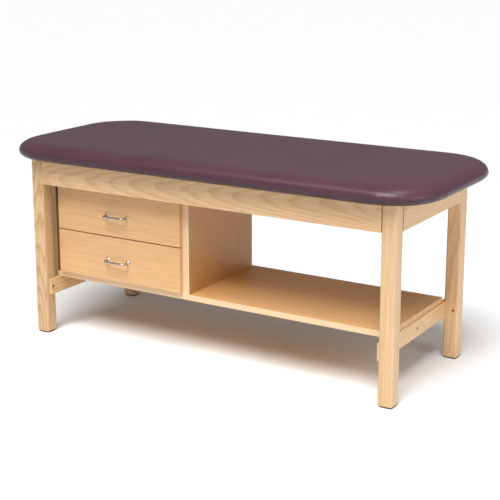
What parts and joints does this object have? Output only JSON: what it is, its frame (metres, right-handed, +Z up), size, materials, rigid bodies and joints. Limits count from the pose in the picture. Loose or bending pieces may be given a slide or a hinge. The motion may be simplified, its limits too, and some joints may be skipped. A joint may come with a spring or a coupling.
{
  "type": "medical exam table",
  "caption": "Upholstered exam table with rounded vinyl top on a wooden leg frame, full-length lower shelf and a cabinet with sliding drawers.",
  "frame": {"origin": "on the floor under the middle of the table", "axes": "+X along the length to the right as seen from the drawers' side, +Y to the back, away from the drawers, +Z up"},
  "size_m": [1.829, 0.762, 0.7874],
  "materials": {
    "ash_wood": "solid ash, clear satin lacquer",
    "hidden_wood": "sawn softwood and ply, unfinished",
    "maple_laminate": "maple-faced panel, satin",
    "birch_ply": "birch plywood, satin",
    "satin_nickel": "satin nickel plate",
    "zinc_steel": "bright zinc plate",
    "black_steel": "black oxide",
    "white_enamel": "white powder coat",
    "nylon": "moulded nylon",
    "black_glide": "moulded black plastic",
    "foam": "upholstery foam",
    "vinyl": "aubergine vinyl, satin, fine leather grain"
  },
  "bodies": {
    "table_frame": {"leg_front_left": "ash_wood", "leg_front_right": "ash_wood", "leg_rear_left": "ash_wood", "leg_rear_right": "ash_wood", "leg_glides": "black_glide", "apron_front": "ash_wood", "apron_rear": "ash_wood", "apron_left": "ash_wood", "apron_right": "ash_wood", "corner_blocks": "hidden_wood", "corner_bolts": "zinc_steel", "corner_nuts": "zinc_steel", "corner_block_screws": "zinc_steel", "end_rail_left": "ash_wood", "end_rail_right": "ash_wood", "center_stretcher": "ash_wood", "rail_bolts": "black_steel", "barrel_nuts": "zinc_steel", "top_cross_rail": "hidden_wood", "lower_shelf": "maple_laminate", "cabinet_side_left": "maple_laminate", "cabinet_side_right": "maple_laminate", "cabinet_top": "maple_laminate", "cabinet_back_panel": "maple_laminate", "assembly_screws": "zinc_steel", "lower_case_runner_left": "white_enamel", "lower_case_runner_right": "white_enamel", "upper_case_runner_left": "white_enamel", "upper_case_runner_right": "white_enamel", "case_roller_pins": "zinc_steel", "case_runner_screws": "zinc_steel", "table_board": "hidden_wood", "board_screws": "zinc_steel", "pad_foam": "foam", "pad_cover": "vinyl"},
    "lower_drawer": {"lower_drawer_front": "maple_laminate", "lower_drawer_side_left": "birch_ply", "lower_drawer_side_right": "birch_ply", "lower_drawer_back": "birch_ply", "lower_drawer_bottom": "birch_ply", "lower_drawer_runner_left": "white_enamel", "lower_drawer_runner_right": "white_enamel", "lower_drawer_roller_pins": "zinc_steel", "lower_drawer_screws": "zinc_steel", "lower_pull": "satin_nickel"},
    "lower_case_roller_set": {"lower_case_rollers": "nylon"},
    "lower_drawer_roller_set": {"lower_drawer_rollers": "nylon"},
    "upper_drawer": {"upper_drawer_front": "maple_laminate", "upper_drawer_side_left": "birch_ply", "upper_drawer_side_right": "birch_ply", "upper_drawer_back": "birch_ply", "upper_drawer_bottom": "birch_ply", "upper_drawer_runner_left": "white_enamel", "upper_drawer_runner_right": "white_enamel", "upper_drawer_roller_pins": "zinc_steel", "upper_drawer_screws": "zinc_steel", "upper_pull": "satin_nickel"},
    "upper_case_roller_set": {"upper_case_rollers": "nylon"},
    "upper_drawer_roller_set": {"upper_drawer_rollers": "nylon"}
  },
  "joints": [
    {"name": "lower_drawer_slide", "type": "slide", "parent": "table_frame", "child": "lower_drawer", "axis": [0, -1, 0], "range_m": [0, 0.34]},
    {"name": "lower_case_roller_spin", "type": "hinge", "parent": "table_frame", "child": "lower_case_roller_set", "pos_m": [-0.417, -0.224, 0.2788], "axis": [1, 0, 0], "range_deg": [0, 2060]},
    {"name": "lower_drawer_roller_spin", "type": "hinge", "parent": "lower_drawer", "child": "lower_drawer_roller_set", "pos_m": [-0.417, 0.146, 0.2788], "axis": [1, 0, 0], "range_deg": [0, 2060]},
    {"name": "upper_drawer_slide", "type": "slide", "parent": "table_frame", "child": "upper_drawer", "axis": [0, -1, 0], "range_m": [0, 0.34]},
    {"name": "upper_case_roller_spin", "type": "hinge", "parent": "table_frame", "child": "upper_case_roller_set", "pos_m": [-0.417, -0.224, 0.4598], "axis": [1, 0, 0], "range_deg": [0, 2060]},
    {"name": "upper_drawer_roller_spin", "type": "hinge", "parent": "upper_drawer", "child": "upper_drawer_roller_set", "pos_m": [-0.417, 0.146, 0.4598], "axis": [1, 0, 0], "range_deg": [0, 2060]}
  ],
  "couplings": [
    {"joint": "lower_case_roller_spin", "follows": "lower_drawer_slide", "rad_per_m": 105.26},
    {"joint": "lower_drawer_roller_spin", "follows": "lower_drawer_slide", "rad_per_m": 105.26},
    {"joint": "upper_case_roller_spin", "follows": "upper_drawer_slide", "rad_per_m": 105.26},
    {"joint": "upper_drawer_roller_spin", "follows": "upper_drawer_slide", "rad_per_m": 105.26}
  ]
}
